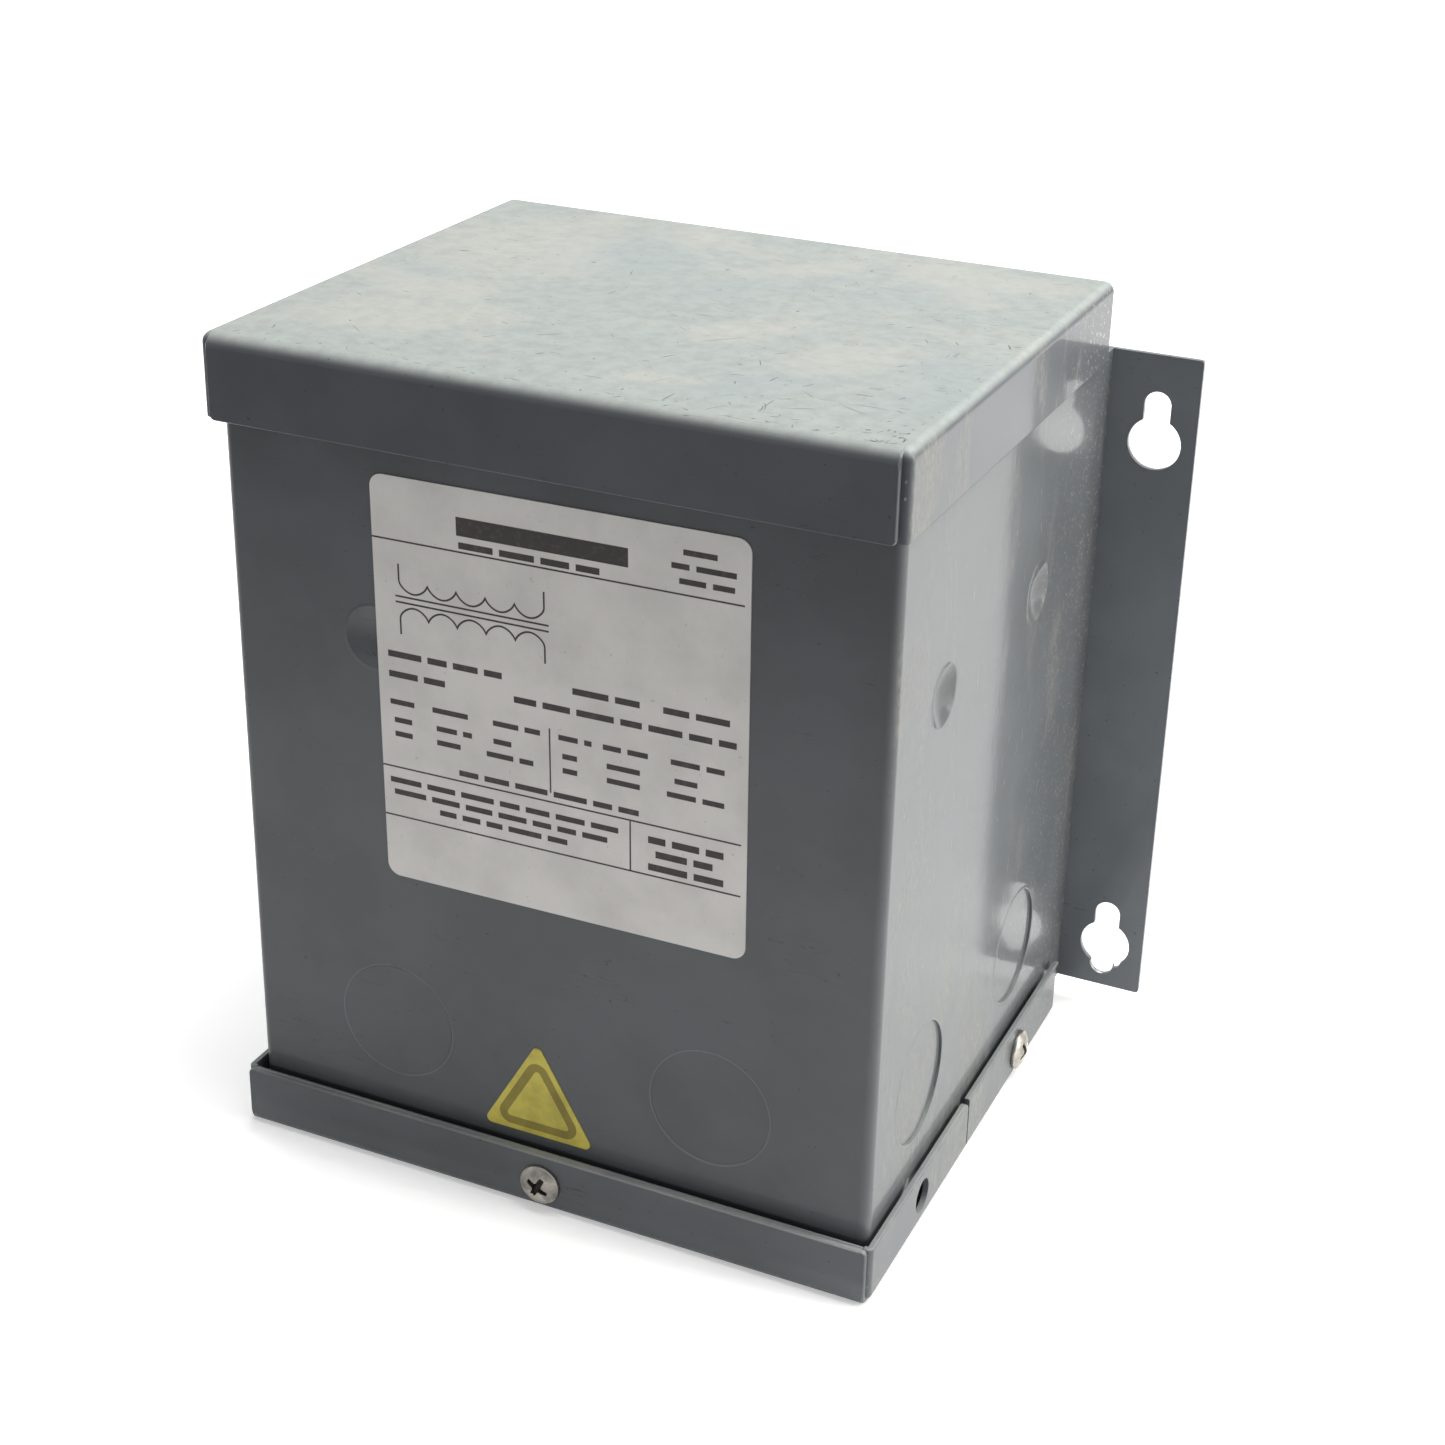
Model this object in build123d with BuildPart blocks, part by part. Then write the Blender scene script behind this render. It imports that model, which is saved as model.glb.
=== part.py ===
from build123d import *
import os

# Wall-mounted dry-type transformer: a folded sheet-metal case on a flat back panel with two ears,
# a lid with turned-down lips and a two-piece bottom pan held by screws.
# Millimetres. X runs to the right along the front, Y runs from the front to the wall, Z is up.
# The origin is on the floor, midway across the case and midway between its front and the wall.

os.makedirs("parts", exist_ok=True)

# Sheet and bends
sheet = 1.3
bend = 2.4
seat = 0.2

# Case: the front and both sides are one wrapped sheet, in front of the back panel
case_w = 152.0
case_d = 136.3
overall_h = 192.2
screw_stand = 7.0
front_y = -(case_d + screw_stand) / 2 + screw_stand
wall_y = front_y + case_d
panel_y = wall_y - sheet

# Lid and bottom pan stand proud of the case
cover_reach = 4.6
rear_setback = 10.1
cover_d = cover_reach + case_d - rear_setback
cover_y = front_y - cover_reach
cover_back_y = cover_y + cover_d
lid_w = case_w + 2 * (sheet + 0.5)
lid_lip = 18.5
lid_front_bend = 3.2
lid_lip_end = 2.1
pan_w = case_w + 2 * (sheet + 1.1)
pan_lip = 14.2
pan_front_bend = 2.4
pan_lip_end = 1.0
tab_len = 14.0
tab_drop = 3.0
tab_bend = sheet + 0.2
lip_corner = 1.2
edge_break = 0.35
lid_z = overall_h - lid_lip
pan_seam_y = front_y + 0.427 * case_d
pan_seam_gap = 0.6
seam_corner = 2.5

# Back panel with its ears and keyholes
ear_w = 21.4
panel_w = case_w + 2 * ear_w
panel_z = 5.2
panel_top = lid_z
return_d = 14.0
keyhole_x = case_w / 2 + 11.6
keyhole_r = 6.35
neck_r = 3.2
upper_keyhole_z = panel_top - 21.5
lower_keyhole_z = panel_z + 12.0
upper_neck = 9.5
lower_neck = 8.9
notch_r = 3.0
notch_x = -0.4
notch_drop = 5.9
shoulder_r = 2.2
shoulder_x = 2.2
shoulder_drop = 4.4

# Knockouts: sheared discs held by two ties each
knockout_r = 14.0
shear = 0.12
tie_w = 3.0
knockout_z = 36.0
side_knockout_z = 36.8
side_sink = 0.6
front_sink = (-0.15, 0.2)
front_knockout_x = 0.2546 * case_w
side_knockout_y = (front_y + 0.2054 * case_d, front_y + 0.675 * case_d)

# Pressed dimples that locate the core
dimple_r = 7.0
dimple_depth = 2.0
dimple_z = 0.6764 * overall_h
front_dimple_x = -0.2671 * case_w
side_dimple_y = (front_y + 0.2054 * case_d, front_y + 0.653 * case_d)

# Screws and the empty hole beside them
screw_z = pan_lip / 2
screw_head_r = 4.8
screw_head_h = screw_stand - cover_reach
screw_rim_h = 0.9
recess_len = 5.4
recess_w = 1.0
recess_depth = 1.4
shank_r = 2.4
shank_hole_r = 2.5
side_screw_y = front_y + 0.69 * case_d
screw_len = 10.0
empty_hole_r = 4.0
empty_hole_y = side_knockout_y[0]
empty_hole_z = pan_lip / 2 + 0.5

# Stuck-on labels
label_w = 0.5625 * case_w
label_h = 0.4844 * overall_h
label_r = 3.0
label_t = 0.25
label_x = 2.9
label_z = 0.6296 * overall_h
label_turn = 0.58
sticker_side = 27.9
sticker_r = 1.3
sticker_x = -3.0
sticker_z = 24.2

# Core
core_z = knockout_z + knockout_r + 10

front_plane = Plane(origin=(0, front_y, 0), x_dir=(1, 0, 0), z_dir=(0, -1, 0))
right_plane = Plane(origin=(case_w / 2, 0, 0), x_dir=(0, 1, 0), z_dir=(1, 0, 0))
left_plane = Plane(origin=(-case_w / 2, 0, 0), x_dir=(0, -1, 0), z_dir=(-1, 0, 0))


def folded_pan(width, lip, front_bend, lip_end):
    """A pan folded from one sheet, its floor at Z = 0 and its front lip at Y = 0."""
    # Front lip, folded up from the floor and kept inside the side bends
    root = front_bend + 4 * sheet
    with BuildPart() as front_lip:
        with BuildSketch(Plane.YZ.offset(-width / 2 + lip_end)):
            with BuildLine():
                Polyline((root, 0), (front_bend, 0))
                CenterArc((front_bend, front_bend), front_bend, 180, 90)
                Polyline((0, front_bend), (0, lip), (sheet, lip), (sheet, front_bend))
                CenterArc((front_bend, front_bend), front_bend - sheet, 180, 90)
                Polyline((front_bend, sheet), (root, sheet), (root, 0))
            make_face()
        extrude(amount=width - 2 * lip_end)
        free_corners = front_lip.edges().filter_by(Axis.Y).group_by(Axis.Z)[-1]
        fillet(free_corners, radius=lip_corner)
        outer_rim = front_lip.faces().filter_by(Axis.Y).sort_by(Axis.Y)[0].edges()
        chamfer(outer_rim.filter_by(lambda e: e.center().Z > front_bend + 0.1), length=edge_break)
    with BuildPart() as envelope:
        with BuildSketch(Plane.XZ.offset(1)):
            with Locations((0, lip)):
                RectangleRounded(width, 2 * lip, bend)
        extrude(amount=-root - 2)
    with BuildPart() as cavity:
        with BuildSketch(Plane.XY.offset(sheet)):
            with Locations((0, 2 * sheet)):
                Rectangle(width - 2 * sheet, cover_d - 3 * sheet, align=(Align.CENTER, Align.MIN))
        extrude(amount=lip)
        fillet(cavity.edges().group_by(Axis.Z)[0], radius=bend - sheet)
    with BuildPart() as pan:
        # Floor, side lips, rear lip and the tabs that turn the front corners
        with BuildSketch(Plane.XY):
            with Locations((0, sheet + (cover_d - sheet) / 2)):
                Rectangle(width, cover_d - sheet)
        extrude(amount=lip)
        fillet(pan.edges().filter_by(Axis.Z).group_by(Axis.Y)[0], radius=tab_bend)
        fillet(pan.edges().filter_by(Axis.Z).group_by(Axis.Y)[-1], radius=bend)
        fillet(pan.edges().group_by(Axis.Z)[0], radius=bend)
        add(cavity.part, mode=Mode.SUBTRACT)
        free_edges = pan.edges().group_by(Axis.Z)[-1]
        chamfer(free_edges.filter_by(lambda e: abs(e.center().X) > width / 2 - 0.1), length=edge_break)
        # Front opening between the tabs, and the tabs cut down behind the lip
        with BuildSketch(Plane.XZ):
            with Locations((0, sheet + lip)):
                Rectangle(width - 2 * tab_len, 2 * lip)
            with Locations((0, lip - tab_drop)):
                Rectangle(width - 2 * tab_bend - 1, 2 * tab_drop, align=(Align.CENTER, Align.MIN))
        extrude(amount=-2.5 * sheet, mode=Mode.SUBTRACT)
    return pan.part + (front_lip.part & envelope.part)


# Pan-head screw with a domed crown and a cross recess, its head's seat at Z = 0 and its shank below.
# The spheres here lie on their sides, which keeps their poles off the visible faces.
crown_rise = screw_head_h - screw_rim_h
crown_r = (screw_head_r**2 + crown_rise**2) / (2 * crown_rise)
with BuildPart() as screw_blank:
    Cylinder(screw_head_r, screw_head_h, align=(Align.CENTER, Align.CENTER, Align.MIN))
    with Locations((0, 0, screw_head_h - crown_r)):
        Sphere(crown_r, rotation=(90, 0, 0), mode=Mode.INTERSECT)
    with BuildSketch(Plane.XY.offset(screw_head_h)):
        Rectangle(recess_len, recess_w)
        Rectangle(recess_w, recess_len)
    extrude(amount=-recess_depth, mode=Mode.SUBTRACT)
    Cylinder(shank_r, screw_len, align=(Align.CENTER, Align.CENTER, Align.MAX))

# Dimple: a round boss behind the sheet, and the dish pressed into its outer face at Z = 0
dish_r = (dimple_r**2 + dimple_depth**2) / (2 * dimple_depth)
with BuildPart() as boss:
    with Locations((0, 0, -sheet / 2)):
        Cylinder(dimple_r, dimple_depth + sheet / 2, align=(Align.CENTER, Align.CENTER, Align.MAX))
with BuildPart() as dish:
    with Locations((0, 0, dish_r - dimple_depth)):
        Sphere(dish_r, rotation=(90, 0, 0))

# Knockout disc with its two ties, its outer face at Z = 0
with BuildPart() as slug:
    with BuildSketch(Plane.XY):
        Circle(knockout_r - shear)
        with BuildSketch(mode=Mode.PRIVATE) as ring:
            Circle(knockout_r)
            Circle(knockout_r - 2 * shear, mode=Mode.SUBTRACT)
            Rectangle(tie_w, 3 * knockout_r, mode=Mode.INTERSECT)
        add(ring.sketch)
    extrude(amount=-sheet)

front_knockouts = [(x, knockout_z) for x in (-front_knockout_x, front_knockout_x)]

# Case wrap: front and side walls
with BuildPart() as case_wrap:
    with BuildSketch(Plane.XY.offset(sheet + seat)):
        with Locations((0, (front_y + panel_y) / 2)):
            outline = Rectangle(case_w, panel_y - front_y)
        fillet(outline.vertices().group_by(Axis.Y)[0], radius=bend)
        with Locations((0, (front_y + sheet + panel_y + 5) / 2)):
            RectangleRounded(
                case_w - 2 * sheet,
                panel_y + 5 - front_y - sheet,
                bend - sheet,
                mode=Mode.SUBTRACT,
            )
    extrude(amount=overall_h - 2 * sheet - 2 * seat)
    # Steps at the rear, clear of the bends at the lid's and the pan's rear lips
    rear_step = cover_back_y - sheet - 3 * seat
    with BuildSketch(Plane.YZ.offset(-case_w)):
        with Locations((rear_step, panel_top)):
            Rectangle(40, 40, align=(Align.MIN, Align.MIN))
        with Locations((rear_step, panel_z)):
            Rectangle(40, 40, align=(Align.MIN, Align.MAX))
    extrude(amount=2 * case_w, mode=Mode.SUBTRACT)
    # Front face: knockout holes, dimples and the screw hole
    with BuildSketch(front_plane):
        with Locations(*front_knockouts):
            Circle(knockout_r)
        with Locations((0, screw_z)):
            Circle(shank_hole_r)
    extrude(amount=-2 * sheet, mode=Mode.SUBTRACT)
    with Locations(Location(Plane(origin=(front_dimple_x, front_y, dimple_z), z_dir=(0, -1, 0)))):
        add(boss.part)
        add(dish.part, mode=Mode.SUBTRACT)
    # Sides: the same features on the right and on the left
    for side in (right_plane, left_plane):
        turn = side.x_dir.Y
        with BuildSketch(side):
            for y in side_knockout_y:
                with Locations((turn * y, side_knockout_z)):
                    Circle(knockout_r)
            with Locations((turn * side_screw_y, screw_z)):
                Circle(shank_hole_r)
        extrude(amount=-2 * sheet, mode=Mode.SUBTRACT)
        for y in side_dimple_y:
            middle = (side.origin.X, y, dimple_z)
            with Locations(Location(Plane(origin=middle, z_dir=side.z_dir))):
                add(boss.part)
                add(dish.part, mode=Mode.SUBTRACT)
case_wrap.part.label = "case_wrap"
export_step(case_wrap.part, "parts/case_wrap.step")

# Back panel with the two ears, their keyholes and the returns that close the case
with BuildPart() as back_panel:
    with BuildSketch(Plane.XZ.offset(-panel_y)):
        with Locations((0, (panel_z + panel_top) / 2)):
            Rectangle(panel_w, panel_top - panel_z)
    extrude(amount=-sheet)
    fillet(back_panel.edges().filter_by(Axis.Y), radius=0.8)
    with BuildSketch(Plane.XZ.offset(-panel_y)):
        for side in (-1, 1):
            with Locations((side * keyhole_x, upper_keyhole_z), (side * keyhole_x, lower_keyhole_z)):
                Circle(keyhole_r)
            with Locations((side * keyhole_x, upper_keyhole_z + upper_neck / 2)):
                Rectangle(2 * neck_r, upper_neck)
            with Locations((side * keyhole_x, upper_keyhole_z + upper_neck)):
                Circle(neck_r)
            with Locations((side * keyhole_x, lower_keyhole_z + lower_neck / 2)):
                Rectangle(2 * neck_r, lower_neck)
            with Locations((side * keyhole_x, lower_keyhole_z + lower_neck)):
                Circle(neck_r)
            # Worn notch under the lower round, with a step at one side and a shoulder at the other
            with Locations((side * (keyhole_x + notch_x), lower_keyhole_z - notch_drop)):
                Circle(notch_r)
                Rectangle(2 * notch_r, notch_drop / 2, align=(Align.CENTER, Align.MIN))
            with Locations((side * (keyhole_x + shoulder_x), lower_keyhole_z - shoulder_drop)):
                Circle(shoulder_r)
    extrude(amount=-sheet, mode=Mode.SUBTRACT)
    with BuildSketch(Plane.YZ.offset(-case_w / 2 + sheet + seat)):
        with Locations((panel_y + sheet, panel_top)):
            Rectangle(return_d, sheet, align=(Align.MAX, Align.MAX))
        with Locations((panel_y + sheet, panel_z)):
            Rectangle(return_d, sheet, align=(Align.MAX, Align.MIN))
    extrude(amount=case_w - 2 * sheet - 2 * seat)
back_panel.part.label = "back_panel"
export_step(back_panel.part, "parts/back_panel.step")

# Lid: the folded pan turned over
turned_pan = mirror(folded_pan(lid_w, lid_lip, lid_front_bend, lid_lip_end), about=Plane.XY)
with BuildPart() as lid:
    with Locations(Location((0, cover_y, overall_h))):
        add(turned_pan)
lid.part.label = "lid"
export_step(lid.part, "parts/lid.step")

# Bottom pan, cut across into a front piece and a rear piece
whole_pan = folded_pan(pan_w, pan_lip, pan_front_bend, pan_lip_end)

with BuildPart() as pan_front:
    with Locations(Location((0, cover_y, 0))):
        add(whole_pan)
    # Everything in front of the seam, with the lips' corners rounded there
    with BuildSketch(Plane.YZ.offset(-pan_w)) as front_share:
        with Locations((pan_seam_y - pan_seam_gap / 2, pan_lip)):
            Rectangle(2 * cover_d, 2 * pan_lip, align=(Align.MAX, Align.MAX))
        fillet(front_share.vertices().group_by(Axis.Y)[-1].sort_by(Axis.Z)[-1], radius=seam_corner)
    extrude(amount=2 * pan_w, mode=Mode.INTERSECT)
    with BuildSketch(Plane.XZ.offset(-cover_y)):
        with Locations((0, screw_z)):
            Circle(shank_hole_r)
    extrude(amount=-2 * sheet, mode=Mode.SUBTRACT)
    with BuildSketch(Plane.YZ.offset(-pan_w)):
        with Locations((empty_hole_y, empty_hole_z)):
            Circle(empty_hole_r)
    extrude(amount=2 * pan_w, mode=Mode.SUBTRACT)
pan_front.part.label = "pan_front"
export_step(pan_front.part, "parts/pan_front.step")

with BuildPart() as pan_rear:
    with Locations(Location((0, cover_y, 0))):
        add(whole_pan)
    with BuildSketch(Plane.XY.offset(-1)):
        with Locations((0, pan_seam_y + pan_seam_gap / 2)):
            Rectangle(2 * pan_w, 2 * cover_d, align=(Align.CENTER, Align.MAX))
    extrude(amount=3 * pan_lip, mode=Mode.SUBTRACT)
    # The rear lip is low, and passes under the back panel
    with BuildSketch(Plane.XZ.offset(-(cover_back_y + 1))):
        with Locations((0, panel_z - seat)):
            Rectangle(pan_w - 2 * sheet, 40, align=(Align.CENTER, Align.MIN))
    extrude(amount=4 * sheet, mode=Mode.SUBTRACT)
    with BuildSketch(Plane.YZ.offset(-pan_w)):
        with Locations((side_screw_y, screw_z)):
            Circle(shank_hole_r)
    extrude(amount=2 * pan_w, mode=Mode.SUBTRACT)
pan_rear.part.label = "pan_rear"
export_step(pan_rear.part, "parts/pan_rear.step")

# Knockout discs, each sheared a little in or out of its wall
side_face_x = case_w / 2 - side_sink
front_left_face_y = front_y + front_sink[0]
front_right_face_y = front_y + front_sink[1]
knockouts = [
    ("knockout_front_left", (-front_knockout_x, front_left_face_y, knockout_z), (0, -1, 0)),
    ("knockout_front_right", (front_knockout_x, front_right_face_y, knockout_z), (0, -1, 0)),
    ("knockout_right_front", (side_face_x, side_knockout_y[0], side_knockout_z), (1, 0, 0)),
    ("knockout_right_rear", (side_face_x, side_knockout_y[1], side_knockout_z), (1, 0, 0)),
    ("knockout_left_front", (-side_face_x, side_knockout_y[0], side_knockout_z), (-1, 0, 0)),
    ("knockout_left_rear", (-side_face_x, side_knockout_y[1], side_knockout_z), (-1, 0, 0)),
]
for name, middle, outward in knockouts:
    with BuildPart() as knockout:
        with Locations(Location(Plane(origin=middle, x_dir=(outward[1], -outward[0], 0), z_dir=outward))):
            add(slug.part)
    knockout.part.label = name
    export_step(knockout.part, "parts/" + name + ".step")

# Screws
screws = [
    ("screw_front", (0, cover_y, screw_z), (0, -1, 0)),
    ("screw_right", (pan_w / 2, side_screw_y, screw_z), (1, 0, 0)),
    ("screw_left", (-pan_w / 2, side_screw_y, screw_z), (-1, 0, 0)),
]
for name, seat_point, outward in screws:
    with BuildPart() as screw:
        with Locations(Location(Plane(origin=seat_point, z_dir=outward))):
            add(screw_blank.part)
    screw.part.label = name
    export_step(screw.part, "parts/" + name + ".step")

# Nameplate and triangular sticker on the front
with BuildPart() as nameplate:
    with BuildSketch(front_plane):
        with Locations(Location((label_x, label_z, 0), (0, 0, label_turn))):
            RectangleRounded(label_w, label_h, label_r)
    extrude(amount=label_t)
nameplate.part.label = "nameplate"
export_step(nameplate.part, "parts/nameplate.step")

with BuildPart() as triangle_sticker:
    with BuildSketch(front_plane) as sticker_shape:
        with Locations((sticker_x, sticker_z)):
            Triangle(a=sticker_side, b=sticker_side, c=sticker_side)
        fillet(sticker_shape.vertices(), radius=sticker_r)
    extrude(amount=label_t)
triangle_sticker.part.label = "triangle_sticker"
export_step(triangle_sticker.part, "parts/triangle_sticker.step")

# Potted core between the dimples, above the wiring space
core_x = case_w / 2 - sheet - dimple_depth - 0.3
core_front = front_y + sheet + dimple_depth + 0.3
core_back = panel_y - 0.3
with BuildPart() as potted_core:
    with BuildSketch(Plane.XY.offset(core_z)):
        with Locations((0, (core_front + core_back) / 2)):
            Rectangle(2 * core_x, core_back - core_front)
    extrude(amount=panel_top - sheet - 0.3 - core_z)
potted_core.part.label = "potted_core"
export_step(potted_core.part, "parts/potted_core.step")
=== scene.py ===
import math

import bpy
import numpy as np
from mathutils import Matrix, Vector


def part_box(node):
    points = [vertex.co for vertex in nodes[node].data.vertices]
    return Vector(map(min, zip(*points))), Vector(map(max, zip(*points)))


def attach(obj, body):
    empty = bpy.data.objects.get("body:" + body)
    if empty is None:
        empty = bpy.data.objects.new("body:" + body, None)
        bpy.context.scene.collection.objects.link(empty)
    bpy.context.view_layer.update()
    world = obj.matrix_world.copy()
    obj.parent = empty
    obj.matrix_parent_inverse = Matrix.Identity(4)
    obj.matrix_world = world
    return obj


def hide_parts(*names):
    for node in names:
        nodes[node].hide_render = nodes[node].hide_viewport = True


# Wall-mounted dry-type transformer in grey enamel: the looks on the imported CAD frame.
# Metres, X to the right along the front, Y towards the wall, Z up.

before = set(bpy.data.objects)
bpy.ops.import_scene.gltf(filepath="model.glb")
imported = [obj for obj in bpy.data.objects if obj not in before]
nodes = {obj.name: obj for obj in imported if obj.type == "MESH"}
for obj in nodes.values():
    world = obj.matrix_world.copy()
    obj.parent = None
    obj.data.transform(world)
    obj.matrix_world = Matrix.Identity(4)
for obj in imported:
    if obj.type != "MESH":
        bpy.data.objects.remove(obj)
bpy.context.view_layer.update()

MM = 0.001


# Sizes read from the frame, in millimetres

def corners(node):
    """Lowest and highest corner of a CAD node."""
    low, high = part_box(node)
    return np.array(low) / MM, np.array(high) / MM


case_low, case_high = corners("case_wrap")
lid_low, lid_high = corners("lid")
tray_low, tray_high = corners("pan_front")
plate_low, plate_high = corners("nameplate")
sticker_low, sticker_high = corners("triangle_sticker")

FRONT_Y = case_low[1]
SIDE_X = case_high[0]
TOP_Z = lid_high[2]
BACK_Y = corners("back_panel")[1][1]
LID_HALF = lid_high[0]
TRAY_HALF = tray_high[0]
COVER_Y = tray_low[1]
COVER_BACK_Y = lid_high[1]
SEAM_Y = tray_high[1]
TRAY_TOP = tray_high[2]
LID_FOOT = lid_low[2]

# Sizes of the folded sheets and their fittings, in millimetres

SHEET = 1.3
TAB_BEND = 1.5
SEAM_CORNER = 2.5
LIP_CORNER = 1.2
TRAY_ROOT = 2.6
KNOCKOUT_R = 14.0
DIMPLE_R, DIMPLE_Z = 7.0, 130.0
KEYHOLE_X, KEYHOLE_Z = 87.6, 17.2
SCREW_Y, SCREW_Z = 29.4, 7.1


# Mesh building

def add(name, data):
    """A new object in the scene, at the origin."""
    made = bpy.data.objects.new(name, data)
    bpy.context.scene.collection.objects.link(made)
    return made


def link(name, mesh, material):
    """Puts a finished mesh in the scene as a piece that rides on the one body."""
    piece = add(name, mesh)
    mesh.materials.clear()
    mesh.materials.append(material)
    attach(piece, "root")
    return piece


def mesh_from(name, points, faces):
    """A smooth-shaded mesh from an array of points and an array of faces, all with as many corners."""
    mesh = bpy.data.meshes.new(name)
    count, sides = faces.shape
    mesh.vertices.add(len(points))
    mesh.vertices.foreach_set("co", np.asarray(points, np.float32).ravel())
    mesh.loops.add(count * sides)
    mesh.loops.foreach_set("vertex_index", faces.astype(np.int32).ravel())
    mesh.polygons.add(count)
    mesh.polygons.foreach_set("loop_start", np.arange(count, dtype=np.int32) * sides)
    mesh.polygons.foreach_set("loop_total", np.full(count, sides, np.int32))
    mesh.update(calc_edges=True)
    mesh.validate()
    mesh.polygons.foreach_set("use_smooth", np.ones(len(mesh.polygons), bool))
    return mesh


def skin_of(node):
    """A welded copy of a CAD node with its bends shaded smooth.

    Coincident vertices become one. The normal at a corner is the sum of the normals of the faces round
    that vertex that lie within soft_angle of its own face, each weighted by the area of the whole flat it
    belongs to, so a bend runs smoothly into a flat and the flat itself stays flat.
    """
    weld, soft_angle = 0.0002 * MM, 40.0
    tilt_steps, flat_step = 500, 0.02 * MM
    source = nodes[node].data
    raw = np.empty(len(source.vertices) * 3, np.float64)
    source.vertices.foreach_get("co", raw)
    raw = raw.reshape(-1, 3)
    tri = np.empty(len(source.loops), np.int64)
    source.loops.foreach_get("vertex_index", tri)
    tri = tri.reshape(-1, 3)
    grid = np.round(raw / weld).astype(np.int64)
    _, first, back = np.unique(grid, axis=0, return_index=True, return_inverse=True)
    points = raw[first]
    a, b, c = back.reshape(-1)[tri].T
    whole = (a != b) & (b != c) & (c != a)
    faces = np.stack([a, b, c], 1)[whole]
    corner_a, corner_b, corner_c = points[faces].transpose(1, 0, 2)
    cross = np.cross(corner_b - corner_a, corner_c - corner_a)
    area = np.linalg.norm(cross, axis=1)
    faces, cross, area = faces[area > 0], cross[area > 0], area[area > 0]
    normal = cross / area[:, None]
    reach = (normal * points[faces[:, 0]]).sum(1)
    plane_key = np.column_stack([normal * tilt_steps, reach / flat_step])
    plane_key = np.round(plane_key).astype(np.int64)
    flat = np.unique(plane_key, axis=0, return_inverse=True)[1].reshape(-1)
    weight = np.bincount(flat, area)[flat]

    # Every pair of corners that share a vertex, found by sorting the corners by vertex
    corner_vertex = faces.ravel()
    corner_face = np.repeat(np.arange(len(faces)), 3)
    order = np.argsort(corner_vertex, kind="stable")
    sorted_vertex, sorted_face = corner_vertex[order], corner_face[order]
    start = np.searchsorted(sorted_vertex, corner_vertex)
    size = np.bincount(corner_vertex, minlength=len(points))[corner_vertex]
    pair_corner = np.repeat(np.arange(len(corner_vertex)), size)
    offset = np.arange(size.sum()) - np.repeat(np.cumsum(size) - size, size)
    pair_face = sorted_face[np.repeat(start, size) + offset]
    own = normal[corner_face[pair_corner]]
    near = (own * normal[pair_face]).sum(1) > math.cos(math.radians(soft_angle))
    share = normal[pair_face] * (weight[pair_face] * near)[:, None]
    total = np.stack([np.bincount(pair_corner, share[:, k], len(corner_vertex)) for k in range(3)], 1)
    total /= np.linalg.norm(total, axis=1)[:, None]

    mesh = mesh_from(node + "_skin", points, faces)
    mesh.normals_split_custom_set(total.tolist())
    return mesh


def grid_faces(rows, columns, closed):
    """Four-cornered faces over a grid of points, joined up across its last column if it is closed."""
    steps = np.arange(columns if closed else columns - 1)
    i, j = np.meshgrid(np.arange(rows - 1) * columns, steps, indexing="ij")
    k = (j + 1) % columns
    return np.stack([i + j, i + columns + j, i + columns + k, i + k], -1).reshape(-1, 4)


def revolved(name, middle, outward, radius, height, turns):
    """A round piece: a profile turned about an axis, each of its points free to vary with the angle.

    The point at step i of the profile and angle a lies at middle + radius(i, a) (cos a * u + sin a * v)
    + height(i, a) * outward, where u is level and v is straight up for an axis that is level. Middle,
    radius and height are in millimetres.
    """
    middle, outward = np.array(middle) * MM, np.array(outward, float)
    u = np.cross([0.0, 0.0, 1.0], outward)
    u /= np.linalg.norm(u)
    v = np.cross(outward, u)
    angle = np.arange(turns) * 2 * math.pi / turns
    ring = np.cos(angle)[:, None] * u + np.sin(angle)[:, None] * v
    radius = np.broadcast_to(radius * MM, (len(radius), turns))
    height = np.broadcast_to(height * MM, (len(height), turns))
    points = middle + radius[:, :, None] * ring[None] + height[:, :, None] * outward
    return mesh_from(name, points.reshape(-1, 3), grid_faces(len(radius), turns, True))


def rim_bead(path, out, inset, swell, groove=0.0, thickness=SHEET * MM, hem=0.0):
    """Paint run thick along a sheared edge: half an ellipse carried along the edge.

    The section's point at angle t is path + across * (0.508 thickness) cos t + out * (swell sin t - inset),
    where across lies square to the path and to out, so it covers the sheet's edge from face to face.
    A groove along the middle takes off a narrow bell curve of its own depth. A hem carries the section on
    down the inner face by its own depth and back by half the thickness.
    """
    groove_width = 0.13 * MM
    along = np.gradient(path, axis=0)
    across = np.cross(along, out)
    across /= np.linalg.norm(across, axis=1)[:, None]
    t = np.linspace(0.0, math.pi, 21)
    reach = 0.508 * thickness * np.cos(t)
    rise = (swell * np.sin(t) - inset - groove * np.exp(-((reach / groove_width) ** 2))) * MM
    if hem:
        reach = np.concatenate([reach, reach[-1:], reach[-1:] + 0.5 * thickness])
        rise = np.concatenate([rise, [-hem * MM, -hem * MM]])
    points = path[:, None] + across[:, None] * reach[None, :, None] + out[:, None] * rise[None, :, None]
    return points.reshape(-1, 3), grid_faces(len(path), len(reach), False)


def closed_ends(points, faces, stations):
    """Closes both ends of a carried section: its opposite points are joined up in fours, row by row."""
    columns = len(points) // stations
    k = np.arange(columns // 2 - 1)
    start = np.stack([k, k + 1, columns - 2 - k, columns - 1 - k], 1)
    return points, np.concatenate([faces, start, start[:, ::-1] + len(points) - columns])


def lay(name, parts, material):
    """One piece from several (points, faces) pairs."""
    offsets = np.cumsum([0] + [len(part[0]) for part in parts[:-1]])
    points = np.concatenate([part[0] for part in parts])
    faces = np.concatenate([part[1] + offset for part, offset in zip(parts, offsets)])
    link(name, mesh_from(name, points, faces), material)


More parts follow.
